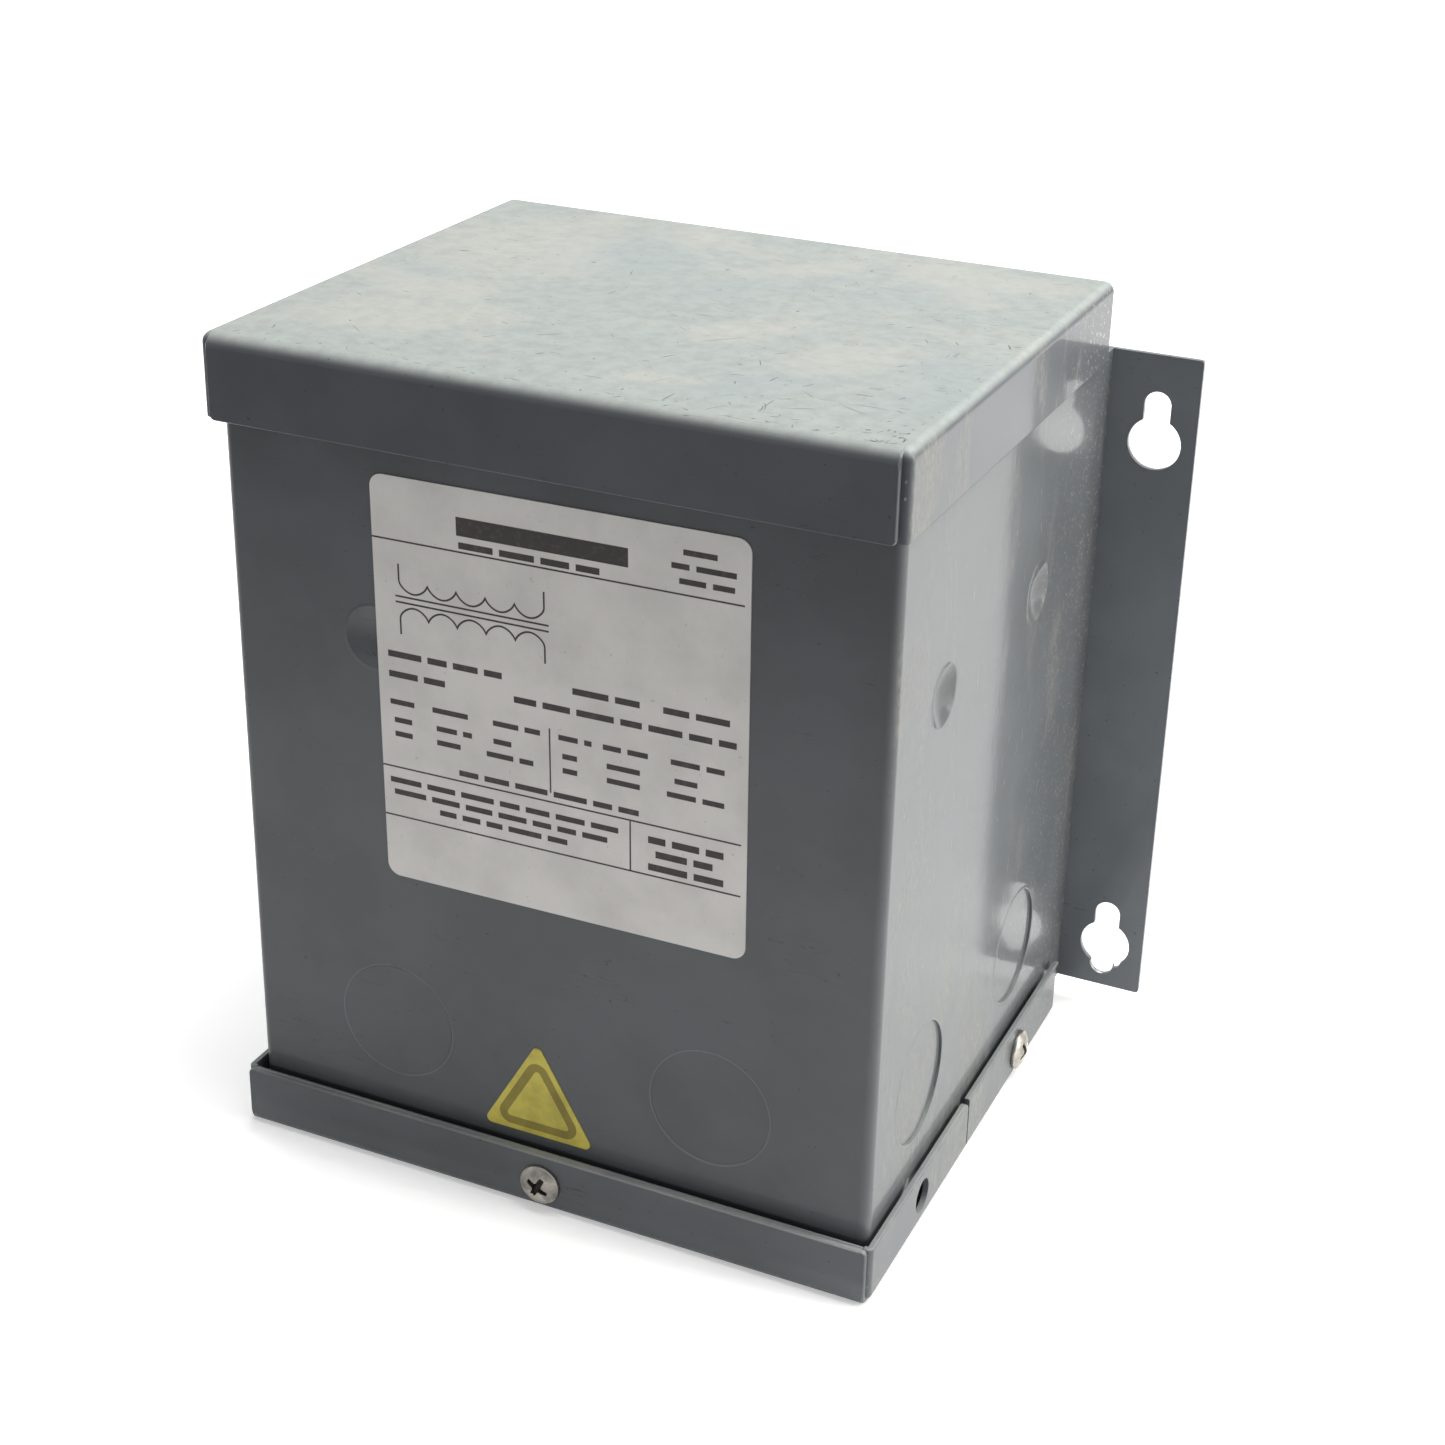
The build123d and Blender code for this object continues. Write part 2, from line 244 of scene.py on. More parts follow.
def smooth_step(t):
    """Rises from 0 to 1 with level ends: 3 t squared less 2 t cubed."""
    t = np.clip(t, 0.0, 1.0)
    return t * t * (3 - 2 * t)


def bell(x, middle, width):
    """A bell curve of height 1: e to the power of minus the squared distance from its middle in widths."""
    return np.exp(-(((x - middle) / width) ** 2))


# Node building

def put(tree, kind, **settings):
    """Adds a shader node and sets its plain properties."""
    made = tree.nodes.new("ShaderNode" + kind)
    for key, value in settings.items():
        setattr(made, key, value)
    return made


def feed(tree, target, source):
    """Joins a source to a socket: another socket is linked, anything else becomes its value."""
    if isinstance(source, bpy.types.NodeSocket):
        tree.links.new(source, target)
    else:
        target.default_value = source


def maths(tree, operation, a, b=0.0, c=0.0, clamp=False):
    """One arithmetic step on values."""
    made = put(tree, "Math", operation=operation, use_clamp=clamp)
    for socket, value in zip(made.inputs, (a, b, c)):
        feed(tree, socket, value)
    return made.outputs[0]


def vectors(tree, operation, a, b=(0.0, 0.0, 0.0)):
    """One arithmetic step on vectors, of which a length comes out as a value."""
    made = put(tree, "VectorMath", operation=operation)
    feed(tree, made.inputs[0], a)
    feed(tree, made.inputs[1], b)
    return made.outputs["Value" if operation == "LENGTH" else "Vector"]


def axes(tree, vector):
    """The three parts of a vector, each as a value."""
    made = put(tree, "SeparateXYZ")
    feed(tree, made.inputs[0], vector)
    return made.outputs


def remap(tree, value, low, high, to_low=0.0, to_high=1.0, smooth=True):
    """Carries a value from one range to another and holds it there."""
    made = put(tree, "MapRange", interpolation_type="SMOOTHSTEP" if smooth else "LINEAR")
    for socket, number in zip(made.inputs[:5], (value, low, high, to_low, to_high)):
        feed(tree, socket, number)
    return made.outputs[0]


def noise(tree, vector, scale, detail=2.0, rough=0.5, distortion=0.0):
    """Fractal noise from 0 to 1."""
    made = put(tree, "TexNoise")
    feed(tree, made.inputs["Vector"], vector)
    labels = ("Scale", "Detail", "Roughness", "Distortion")
    for label, number in zip(labels, (scale, detail, rough, distortion)):
        feed(tree, made.inputs[label], number)
    return made.outputs["Fac"]


def blend(tree, share, under, over):
    """Mixes two colours by a share from 0 to 1."""
    made = put(tree, "Mix", data_type="RGBA")
    feed(tree, made.inputs[0], share)
    feed(tree, made.inputs[6], under)
    feed(tree, made.inputs[7], over)
    return made.outputs[2]


def stretched(tree, vector, scale, turn=(0.0, 0.0, 0.0)):
    """Object coordinates turned and scaled unevenly."""
    made = put(tree, "Mapping")
    feed(tree, made.inputs["Vector"], vector)
    made.inputs["Rotation"].default_value = turn
    made.inputs["Scale"].default_value = scale
    return made.outputs[0]


def new_group(name, inputs, outputs):
    """An empty node group that takes a Vector and other inputs by name, and puts out values by name.

    Each input is given its value at rest, a number or a vector. What comes back is the group's tree, the
    sockets that bring its inputs in and those that take its outputs.
    """
    tree = bpy.data.node_groups.new(name, "ShaderNodeTree")
    tree.interface.new_socket("Vector", in_out="INPUT", socket_type="NodeSocketVector")
    for label, value in inputs.items():
        kind = "NodeSocketFloat" if isinstance(value, float) else "NodeSocketVector"
        tree.interface.new_socket(label, in_out="INPUT", socket_type=kind).default_value = value
    for label in outputs:
        tree.interface.new_socket(label, in_out="OUTPUT", socket_type="NodeSocketFloat")
    return tree, tree.nodes.new("NodeGroupInput").outputs, tree.nodes.new("NodeGroupOutput").inputs


def use(tree, group, vector, **values):
    """Places a node group in a material and feeds its inputs by name."""
    made = put(tree, "Group")
    made.node_tree = group
    feed(tree, made.inputs["Vector"], vector)
    for key, value in values.items():
        feed(tree, made.inputs[key.capitalize()], value)
    return made.outputs


def srgb(value):
    """A colour of three numbers from 0 to 255, as a screen shows it, as a linear colour."""
    rgb = np.array(value, float) / 255
    linear = np.where(rgb <= 0.04045, rgb / 12.92, ((rgb + 0.055) / 1.055) ** 2.4)
    return (*linear.tolist(), 1.0)


def mottled(tree, share, body, factor):
    """A colour that goes to a multiple of itself by a share from 0 to 1."""
    return blend(tree, share, srgb(body), srgb(np.array(body) * factor))


def rippled(tree, shader, height, strength, distance):
    """Bumps a shader's surface by a height from 0 to 1, which stands for a distance."""
    made = put(tree, "Bump")
    made.inputs["Strength"].default_value = strength
    made.inputs["Distance"].default_value = distance
    feed(tree, made.inputs["Height"], height)
    feed(tree, shader.inputs["Normal"], made.outputs[0])
    return made.outputs[0]


# Effects shared by several finishes

def put_out(tree, inside, outside, **shares):
    """Sends shares out of a group, each times the group's Amount."""
    for key, share in shares.items():
        feed(tree, outside[key.capitalize()], maths(tree, "MULTIPLY", share, inside["Amount"]))
    return tree


def peel_group():
    """Sprayed enamel's skin: long soft waves in the sheet, orange peel and fine grit, as a height."""
    tree, inside, outside = new_group("enamel_skin", {"Peel": 1.0}, ["Height"])
    where = inside["Vector"]
    peel_height, grit_height = 0.055, 0.002
    waves = noise(tree, where, 22.0, 1.0, 0.4)
    peel = noise(tree, where, 760.0, 2.0, 0.55)
    grit = noise(tree, where, 2600.0, 1.0, 0.5)
    total = maths(tree, "MULTIPLY_ADD", peel, maths(tree, "MULTIPLY", inside["Peel"], peel_height), waves)
    feed(tree, outside["Height"], maths(tree, "MULTIPLY_ADD", grit, grit_height, total))
    return tree


def dust_group():
    """Dust that lies on faces that look up, in cloudy patches: a film share and a patch share; the film is
    partly a painted top light.
    """
    tree, inside, outside = new_group("dust_and_painted_top_light", {"Amount": 1.0}, ["Film", "Patches"])
    where = inside["Vector"]
    facing = axes(tree, put(tree, "NewGeometry").outputs["Normal"])
    up = remap(tree, facing["Z"], 0.3, 0.95)
    clouds = noise(tree, where, 16.0, 4.0, 0.6, 0.6)
    fine = noise(tree, where, 240.0, 3.0, 0.7)
    film = maths(tree, "MULTIPLY", up, remap(tree, fine, 0.2, 0.75, 0.75, 1.0))
    patches = maths(tree, "MULTIPLY", up, remap(tree, clouds, 0.5, 0.66))
    return put_out(tree, inside, outside, film=film, patches=patches)


def scuff_group():
    """Thin scratches and short ticks: narrow crests of stretched noise, kept only in scattered places."""
    tree, inside, outside = new_group("scuffs", {"Amount": 1.0}, ["Lines", "Specks"])
    where = inside["Vector"]
    total = 0.0
    for turn, shift in (((0.4, 0.3, 0.9), 3.1), ((1.1, 0.2, 2.3), 7.7), ((0.1, 1.3, 1.5), 12.4)):
        run = stretched(tree, where, (30.0 + shift, 620.0, 480.0), turn)
        crest = noise(tree, run, 1.0, 1.0, 0.4)
        from_crest = maths(tree, "ABSOLUTE", maths(tree, "SUBTRACT", crest, 0.5))
        line = remap(tree, from_crest, 0.004, 0.0)
        spots = noise(tree, stretched(tree, where, (42.0 + shift,) * 3), 1.0, 2.0, 0.5)
        line = maths(tree, "MULTIPLY", line, remap(tree, spots, 0.62, 0.68))
        total = maths(tree, "MAXIMUM", line, total)
    specks = remap(tree, noise(tree, where, 900.0, 1.0, 0.5), 0.755, 0.79)
    return put_out(tree, inside, outside, lines=total, specks=specks)


def haze_group():
    """One patch of dried haze: an ellipse about a centre, its edge eaten away by two sizes of noise."""
    rest = {"Centre": (0.0, 0.0, 0.0), "Size": (1.0, 1.0, 1.0), "Turn": 0.0}
    tree, inside, outside = new_group("haze_patch", rest, ["Share"])
    where = inside["Vector"]
    turned = put(tree, "VectorRotate", rotation_type="Z_AXIS")
    feed(tree, turned.inputs["Vector"], vectors(tree, "SUBTRACT", where, inside["Centre"]))
    feed(tree, turned.inputs["Angle"], maths(tree, "MULTIPLY", inside["Turn"], -1.0))
    edge = vectors(tree, "LENGTH", vectors(tree, "DIVIDE", turned.outputs[0], inside["Size"]))
    for scale, detail, rough, bite in ((70.0, 4.0, 0.6, 1.6), (900.0, 3.0, 0.7, 0.7)):
        ragged = maths(tree, "SUBTRACT", noise(tree, where, scale, detail, rough), 0.5)
        edge = maths(tree, "MULTIPLY_ADD", ragged, bite, edge)
    feed(tree, outside["Share"], remap(tree, edge, 1.15, 0.45))
    return tree


def run_group():
    """Marks that water leaves on the side walls: fine streaks that run down, and grit caught at the back."""
    tree, inside, outside = new_group("water_runs", {"Amount": 1.0}, ["Streaks", "Grit"])
    where = inside["Vector"]
    facing = axes(tree, put(tree, "NewGeometry").outputs["Normal"])
    upright = remap(tree, maths(tree, "ABSOLUTE", facing["X"]), 0.6, 0.95)
    broad = noise(tree, stretched(tree, where, (38.0, 38.0, 13.0)), 1.0, 4.0, 0.65, 0.8)
    fine = noise(tree, stretched(tree, where, (900.0, 900.0, 420.0)), 1.0, 3.0, 0.7)
    streaks = remap(tree, broad, 0.48, 0.7)
    streaks = maths(tree, "MULTIPLY", streaks, remap(tree, fine, 0.35, 0.65, 0.2, 1.0))
    streaks = maths(tree, "MULTIPLY", streaks, upright)
    back = remap(tree, axes(tree, where)["Y"], 0.005, 0.075)
    dots = remap(tree, noise(tree, where, 1100.0, 2.0, 0.6), 0.6, 0.68)
    grit = maths(tree, "MULTIPLY", maths(tree, "MULTIPLY", dots, back), upright)
    return put_out(tree, inside, outside, streaks=streaks, grit=grit)


PEEL = peel_group()
DUST_AND_TOP_LIGHT = dust_group()
SCUFFS = scuff_group()
HAZE = haze_group()
RUNS = run_group()


# Finishes

HAZE_Z, HAZE_TALL = 192, 9
WIPED_FILM = (146, 156, 160)
BEIGE_HAZE = (192, 185, 173)
WATER_STREAK = (172, 169, 156)
CAUGHT_GRIT = (190, 184, 168)
DARK_SCRATCH = (52, 54, 56)
DARK_SPECK = (60, 60, 58)


def start_material(name):
    """A new node material with its shader and Object coordinates."""
    material = bpy.data.materials.new(name)
    material.use_nodes = True
    tree = material.node_tree
    shader = tree.nodes["Principled BSDF"]
    where = put(tree, "TexCoord").outputs["Object"]
    return material, tree, shader, where


def enamel(name, body, dust_and_top_light_colour, dust_and_top_light_amount, peel=1.0, scuff=1.0, runs=1.0, gloss=0.5, haze=(), clean=()):
    """Grey baked enamel with cloudy tone, orange peel, settled dust, water marks and scuffs. The dust film's
    lighter colour on up-facing faces is partly a painted top light.

    Haze and clean are patches of beige and of wiped film on the top, each by its middle's x and y, half
    its width and depth, in millimetres, and its turn. Gloss is the weight of the clear coat where no dust
    lies; dust and water streaks dull it.
    """
    material, tree, shader, where = start_material(name)
    # The dust film lightens every face that looks up: real dust, and with it a painted top light.
    dust = use(tree, DUST_AND_TOP_LIGHT, where, amount=dust_and_top_light_amount)
    marks = use(tree, SCUFFS, where, amount=scuff)
    wet = use(tree, RUNS, where, amount=runs)
    tone = noise(tree, where, 35.0, 3.0, 0.5)

    def widest(share, patches):
        """The largest share of any patch, where dust lies."""
        for x, y, wide, deep, turn in patches:
            centre, size = ([v * MM for v in part] for part in ((x, y, HAZE_Z), (wide, deep, HAZE_TALL)))
            spot = use(tree, HAZE, where, centre=centre, size=size, turn=turn)["Share"]
            share = maths(tree, "MAXIMUM", share, maths(tree, "MULTIPLY", spot, dust["Film"]))
        return share

    colour = mottled(tree, remap(tree, tone, 0.3, 0.7), body, 1.08)
    for share, strength, over in (
        (dust["Film"], 0.8, dust_and_top_light_colour),
        (widest(0.0, clean), 0.3, WIPED_FILM),
        (widest(dust["Patches"], haze), 0.26, BEIGE_HAZE),
        (wet["Streaks"], 0.3, WATER_STREAK),
        (wet["Grit"], 0.5, CAUGHT_GRIT),
        (marks["Lines"], 0.55, DARK_SCRATCH),
        (marks["Specks"], 0.5, DARK_SPECK),
    ):
        colour = blend(tree, maths(tree, "MULTIPLY", share, strength), colour, srgb(over))
    feed(tree, shader.inputs["Base Color"], colour)
    roughness = remap(tree, tone, 0.3, 0.7, 0.3, 0.36)
    roughness = maths(tree, "MULTIPLY_ADD", dust["Film"], 0.25, roughness)
    feed(tree, shader.inputs["Roughness"], roughness)
    shader.inputs["Specular IOR Level"].default_value = 0.12
    clear = maths(tree, "MULTIPLY_ADD", wet["Streaks"], -0.75, 1.0, clamp=True)
    coat = maths(tree, "MULTIPLY", clear, remap(tree, dust["Film"], 0.0, 1.0, gloss, 0.12))
    feed(tree, shader.inputs["Coat Weight"], coat)
    shader.inputs["Coat Roughness"].default_value = 0.06
    height = use(tree, PEEL, where, peel=peel)["Height"]
    feed(tree, shader.inputs["Coat Normal"], rippled(tree, shader, height, 0.25, 1.0 * MM))
    return material


def patchy(name, body, factor, scale, detail, spread, roughness):
    """A finish whose colour goes to a multiple of itself, and its roughness up, in patches of noise."""
    material, tree, shader, where = start_material(name)
    patches = noise(tree, where, scale, detail, 0.6)
    feed(tree, shader.inputs["Base Color"], mottled(tree, remap(tree, patches, *spread), body, factor))
    feed(tree, shader.inputs["Roughness"], remap(tree, patches, 0.3, 0.7, *roughness))
    return material, tree, shader, where


def zinc(name, body=(200, 194, 186)):
    """Plated screw steel: warm nickel grey, brushed fine and dulled in patches."""
    spread, roughness = (0.35, 0.7), (0.24, 0.42)
    material, tree, shader, where = patchy(name, body, 0.72, 260.0, 3.0, spread, roughness)
    shader.inputs["Metallic"].default_value = 1.0
    rippled(tree, shader, noise(tree, where, 1800.0, 3.0, 0.6), 0.3, 0.05 * MM)
    return material


def foil(name):
    """The nameplate's face: pale satin foil with a faint rolled grain and handling marks."""
    material, tree, shader, where = start_material(name)
    marks = use(tree, SCUFFS, where, amount=0.6)
    clouds = noise(tree, where, 60.0, 4.0, 0.6)
    colour = mottled(tree, remap(tree, clouds, 0.3, 0.75), (223, 220, 217), 0.93)
    colour = blend(tree, maths(tree, "MULTIPLY", marks["Specks"], 0.4), colour, srgb((120, 112, 108)))
    feed(tree, shader.inputs["Base Color"], colour)
    feed(tree, shader.inputs["Roughness"], remap(tree, clouds, 0.3, 0.7, 0.38, 0.5))
    rippled(tree, shader, noise(tree, stretched(tree, where, (900.0, 900.0, 90.0)), 1.0), 0.12, 0.1 * MM)
    return material


def film(name, body):
    """The sticker's coloured film, a little dirty and uneven."""
    return patchy(name, body, 0.86, 180.0, 4.0, (0.35, 0.75), (0.32, 0.45))[0]


def ink(name, body):
    """Thin dull print, ground-in dirt or a dark recess, worn a little in places."""
    return patchy(name, body, 1.35, 700.0, 3.0, (0.45, 0.8), (0.5, 0.65))[0]


def compound(name):
    """Cast potting compound round the core: dull brown-grey and grainy."""
    material, tree, shader, where = start_material(name)
    grain = noise(tree, where, 500.0, 5.0, 0.6)
    feed(tree, shader.inputs["Base Color"], blend(tree, grain, srgb((74, 68, 60)), srgb((106, 98, 88))))
    feed(tree, shader.inputs["Roughness"], remap(tree, grain, 0.3, 0.7, 0.7, 0.9))
    return material


# Each enamel's second colour is its dust film on up-facing faces, partly a painted top light.
CASE = enamel("case_enamel", (87, 90, 93), (150, 156, 154), 0.6, peel=1.6)
LID = enamel(
    "lid_enamel", (86, 89, 93), (172, 178, 174), 1.0, scuff=1.2, runs=1.8, gloss=0.4,
    haze=(
        (-48, -38, 30, 15, 0.5), (-52, 20, 26, 34, 0.3),
        (15, 38, 17, 8, 0.9), (20, -14, 15, 8, 0.8),
        (46, -22, 20, 11, 0.9), (16, -52, 13, 5, 0.3),
        (58, 46, 20, 9, 0.2),
    ),
    clean=(
        (-28, 24, 24, 20, 0.6), (8, 18, 26, 9, 0.9),
        (68, -30, 12, 26, 0.2), (44, 26, 26, 10, 0.8),
        (-62, -8, 12, 12, 0.4), (38, -44, 20, 8, 0.8),
    ),
)
TRAY = enamel("tray_enamel", (92, 95, 98), (158, 163, 162), 0.8, gloss=0.28)
# A lighter enamel for the crests of the knockout rims: a painted highlight.
CREST_HIGHLIGHT = enamel("painted_highlight_enamel", (103, 107, 110), (158, 163, 162), 0.6, scuff=0.5)
# The back panel's enamel is lighter than the case's: painted light, so the flange shows as bright as the
# front.
PANEL_PAINTED_LIGHTER = enamel("panel_enamel_painted_lighter", (108, 113, 118), (130, 134, 134), 0.4, peel=1.4)
SCREW = zinc("screw_plate")
FOIL = foil("nameplate_foil")
FILM = film("sticker_film", (208, 194, 86))
CORE = compound("core_compound")
INK = ink("nameplate_ink", (62, 58, 58))
BAND = film("sticker_band_film", (146, 132, 56))
GRIME = ink("ground_in_dirt", (78, 82, 82))
RECESS = ink("recess_dark", (46, 41, 37))
BARE = zinc("bare_steel", (190, 192, 190))

for name, finish in (("case_wrap", CASE), ("lid", LID), ("pan_front", TRAY), ("pan_rear", TRAY)):
    skin = link(name + "_skin", skin_of(name), finish)
    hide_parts(name)
own_finish = {"back_panel": PANEL_PAINTED_LIGHTER, "nameplate": FOIL, "triangle_sticker": FILM, "potted_core": CORE}
for name, piece in nodes.items():
    piece.data.materials.clear()
    piece.data.materials.append(own_finish.get(name, SCREW if name.startswith("screw") else CASE))


# Pieces laid on the CAD frame, in millimetres of the frame until they are made

def lip_path(half, edge, root, y, up):
    """The rim of a front lip, from the root of one cut end, round its two free corners, to the other root.

    Between the two straight ends lie quarter circles: middle + radius (cos f, 0, up sin f) with f from
    180 to 90 degrees at the left corner and from 90 to 0 at the right one. The second result is the
    outward direction at each place.
    """
    f = np.concatenate([np.linspace(math.pi, math.pi / 2, 9), np.linspace(math.pi / 2, 0.0, 9)])
    middle_x = np.where(np.arange(18) < 9, -1.0, 1.0) * (half - LIP_CORNER)
    x = middle_x + LIP_CORNER * np.cos(f)
    z = edge - up * LIP_CORNER * (1 - np.sin(f))
    path = np.stack([x, np.full(18, y), z], 1)
    out = np.stack([np.cos(f), np.zeros(18), up * np.sin(f)], 1)
    ends = np.array([[-half, y, root], [half, y, root]])
    path = np.concatenate([ends[:1], path, ends[1:]])
    out = np.concatenate([out[:1], out, out[-1:]])
    return path * MM, out


def side_path(half, edge, start_y, up, side, end_y, drop_corner=0.0, root=0.0):
    """The rim of a side lip: a quarter circle round the front bend, a straight run back and, where the lip
    ends at a seam, a quarter circle of radius drop_corner and a straight run down to the root.
    """
    a = np.linspace(-math.pi / 2, 0.0, 7)
    reach = TAB_BEND - SHEET / 2
    x = half - TAB_BEND + reach * np.cos(a)
    y = start_y + TAB_BEND + reach * np.sin(a)
    z = np.full(7, edge)
    out = np.tile([0.0, 0.0, up], (7, 1))
    x_run = half - SHEET / 2
    if drop_corner:
        f = np.linspace(math.pi / 2, 0.0, 9)
        y = np.concatenate([y, end_y - drop_corner + drop_corner * np.cos(f), [end_y]])
        z = np.concatenate([z, edge - up * drop_corner * (1 - np.sin(f)), [root]])
        x = np.concatenate([x, np.full(10, x_run)])
        turn = np.stack([np.zeros(9), np.cos(f), up * np.sin(f)], 1)
        out = np.concatenate([out, turn, turn[-1:]])
    else:
        x, y, z = np.append(x, x_run), np.append(y, end_y), np.append(z, edge)
        out = np.concatenate([out, out[-1:]])
    return np.stack([side * x, y, z], 1) * MM, out


def rims():
    """The run-thick paint along the free edges of the lid and the tray.

    The tray's front lip is cut in two runs of paint, left and right, and folded double between them.
    """
    inset, lid_swell, tray_swell = 0.36, 0.42, 0.44
    middle_y, start_y, back_y = COVER_Y + SHEET / 2, COVER_Y + SHEET, COVER_BACK_Y - 0.1
    path, out = lip_path(LID_HALF - 2.1, LID_FOOT, TOP_Z - 3.4, middle_y, -1.0)
    parts = [rim_bead(path, out, inset, lid_swell)]
    for side in (-1.0, 1.0):
        path, out = side_path(LID_HALF, LID_FOOT, start_y, -1.0, side, back_y)
        parts.append(rim_bead(path, out, inset, lid_swell))
    lay("lid_rims", parts, LID)

    path, out = lip_path(TRAY_HALF - 1.0, TRAY_TOP, TRAY_ROOT, middle_y, 1.0)
    parts = [rim_bead(path[run], out[run], inset, tray_swell, 0.16) for run in (slice(10), slice(10, None))]
    fold = path[9:11] + np.array([0.0, 0.55, 0.0]) * MM
    parts.append(closed_ends(*rim_bead(fold, out[9:11], inset, 0.46, 0.22, 2.4 * MM, 5.0), 2))
    for side in (-1.0, 1.0):
        path, out = side_path(TRAY_HALF, TRAY_TOP, start_y, 1.0, side, SEAM_Y, SEAM_CORNER, TRAY_ROOT)
        parts.append(rim_bead(path, out, inset, tray_swell, 0.08))
    lay("tray_front_rims", parts, TRAY)

    parts = []
    for side in (-1.0, 1.0):
        x = side * (TRAY_HALF - SHEET / 2)
        path = np.array([[x, SEAM_Y + 0.6, TRAY_TOP], [x, back_y, TRAY_TOP]]) * MM
        parts.append(rim_bead(path, np.tile([0.0, 0.0, 1.0], (2, 1)), inset, tray_swell, 0.08))
    lay("tray_rear_rims", parts, TRAY)


def knockout_rim(name, middle, outward, sink, burr, groove):
    """Painted edge round a knockout: a ring whose height falls from the wall to the sheared disc.

    With x the distance outside the hole, the height is a smooth step from the disc to the wall just inside
    the hole, less a narrow bell curve for the shear line, which fades out at the two ties, plus a low
    broad bell curve for the burr, stronger on some sides than on others.
    """
    turns, tie_width, lift = 192, 1.5, 0.008
    angle = np.arange(turns) * 2 * math.pi / turns
    x = np.array([-2.4, -1.2, -0.6, -0.35, -0.22, -0.15, -0.11, -0.09, -0.07, -0.05, -0.03, -0.01,
                  0.02, 0.06, 0.12, 0.2, 0.3, 0.42, 0.6, 0.9])[:, None]
    from_tie = np.abs(np.abs(angle) % math.pi - math.pi / 2) * KNOCKOUT_R
    tie = np.exp(-((from_tie / tie_width) ** 4))[None]
    ragged = 0.6 + 0.4 * np.sin(3 * angle + 1.0)[None] * np.sin(2 * angle + 0.4)[None]
    height = -sink + sink * smooth_step((x + 0.11) / 0.105) + lift
    height = height - groove * bell(x, -0.06, 0.035) * (1 - tie)
    height = height + burr * ragged * bell(x, 0.24, 0.17)
    height = np.where(x > 0, np.maximum(height, 0.006), height)
    mesh = revolved(name, middle, outward, KNOCKOUT_R + x, height, turns)
    link(name, mesh, CASE)
    # The ring's crest takes the lighter enamel, a painted highlight along the edge.
    mesh.materials.append(CREST_HIGHLIGHT)
    crest = ((x[:-1] > 0.01) & (x[:-1] < 0.3)).astype(np.int32)
    mesh.polygons.foreach_set("material_index", np.repeat(crest.ravel(), turns))


def dimple(name, middle, outward, depth):
    """A pressed dimple: a bowl whose depth is (1 less the squared share of its radius) to the power 1.15,
    with a low bell-curved crest just outside, tapering to the wall.
    """
    turns, lift, crest = 128, 0.008, 0.05
    r = np.concatenate([np.linspace(0.0, 0.82, 30), np.linspace(0.835, 1.25, 44)]) * DIMPLE_R
    share = np.clip(1 - (r / DIMPLE_R) ** 2, 0.0, 1.0)
    height = lift - depth * share ** 1.15 + crest * bell(r, 1.03 * DIMPLE_R, 0.35)
    link(name, revolved(name, middle, outward, r[:, None], height[:, None], turns), CASE)


def screw_head(name, middle, outward, turn):
    """A pan-head screw: a domed crown over a rounded skirt, with a cross recess.

    The crown's height is a ball's cap. The recess takes off a depth that is full where a point lies within
    one of two crossed slots, and runs out smoothly over a tenth of a millimetre at their walls and over
    their tapering ends.
    """
    head_r, crown_r, tall, dome = 4.8, 4.55, 2.4, 1.5
    slot_half, slot_taper, slot_end, hub_r, slot_depth = 0.7, 0.07, 2.75, 1.25, 2.1
    turns = 224
    angle = np.arange(turns)[None] * 2 * math.pi / turns
    crown = np.linspace(0.0, crown_r, 64)[:, None]
    ball = (head_r ** 2 + dome ** 2) / (2 * dome)
    top = tall - ball + np.sqrt(ball ** 2 - crown ** 2)
    x = crown * np.cos(angle + turn)
    y = crown * np.sin(angle + turn)
    cut = smooth_step((hub_r - np.hypot(x, y)) / 0.5)
    for along, across in ((np.abs(x), np.abs(y)), (np.abs(y), np.abs(x))):
        half = slot_half - slot_taper * along
        slot = smooth_step((half - across) / 0.16 + 0.5) * smooth_step((slot_end - along) / 0.5)
        cut = np.maximum(cut, slot)
    cut = cut * (slot_depth - 0.38 * crown)
    head = top - np.clip(cut, 0.0, None)
    skirt_a = np.linspace(0.0, math.pi / 2, 9)[1:, None]
    skirt_r = crown_r + 0.25 * np.sin(skirt_a)
    skirt_h = tall - ball + math.sqrt(ball ** 2 - crown_r ** 2) - 0.35 * (1 - np.cos(skirt_a))
    foot_r = np.array([[4.8], [4.72], [2.4], [2.4], [0.0]])
    foot_h = np.array([[0.12], [0.0], [0.0], [-3.0], [-3.0]])

    def rows(*profiles):
        """Several parts of a profile as one array, spread over every turn."""
        return np.concatenate([np.broadcast_to(part, (len(part), turns)) for part in profiles])

    radii, heights = rows(crown, skirt_r, foot_r), rows(head, skirt_h, foot_h)
    mesh = revolved(name, middle, outward, radii, heights, turns)
    head_piece = link(name, mesh, SCREW)
    # The faces deep in the cross recess get a darker finish.
    mesh.materials.append(RECESS)
    deep = np.zeros((len(radii) - 1, turns), np.int32)
    deep[:len(crown) - 1] = cut[:-1] > 0.3
    mesh.polygons.foreach_set("material_index", deep.ravel())
    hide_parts(name.replace("_head", ""))


